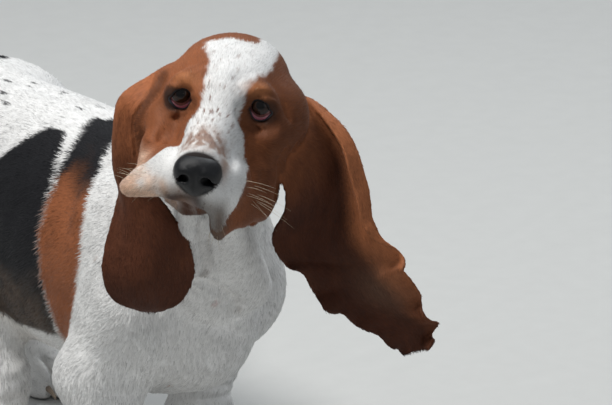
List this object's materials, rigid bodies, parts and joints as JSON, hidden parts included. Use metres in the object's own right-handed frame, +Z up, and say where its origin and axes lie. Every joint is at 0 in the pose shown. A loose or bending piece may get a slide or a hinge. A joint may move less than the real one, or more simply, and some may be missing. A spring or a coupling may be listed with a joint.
{
  "type": "basset hound figure",
  "caption": "Life-size still model of a standing tricolour basset hound with its head turned and one long ear thrown out.",
  "frame": {"origin": "middle of the underside, at the level of the four soles", "axes": "+Z up, the dog faces -Y and its left side is +X"},
  "size_m": [0.3154, 0.8696, 0.5253],
  "materials": {
    "head_coat": "short smooth fur, red tan with a white blaze",
    "white_coat": "short smooth white fur with small tan ticks",
    "saddle_coat": "short smooth fur, black and tan saddle on white",
    "ear_coat": "fine short chestnut fur",
    "eye": "wet gloss, dark brown",
    "nose_leather": "moist blue black leather",
    "claw": "worn horn"
  },
  "bodies": {
    "root": {"claw_front_left_1": "claw", "claw_front_left_2": "claw", "claw_front_left_3": "claw", "claw_front_left_4": "claw", "claw_front_right_1": "claw", "claw_front_right_2": "claw", "claw_front_right_3": "claw", "claw_front_right_4": "claw", "claw_hind_left_1": "claw", "claw_hind_left_2": "claw", "claw_hind_left_3": "claw", "claw_hind_left_4": "claw", "claw_hind_right_1": "claw", "claw_hind_right_2": "claw", "claw_hind_right_3": "claw", "claw_hind_right_4": "claw", "ear_left": "ear_coat", "ear_right": "ear_coat", "eye_left": "eye", "eye_right": "eye", "head": "head_coat", "leg_front_left": "white_coat", "leg_front_right": "white_coat", "leg_hind_left": "white_coat", "leg_hind_right": "white_coat", "neck": "white_coat", "nose": "nose_leather", "tail": "white_coat", "torso": "saddle_coat"}
  },
  "joints": []
}
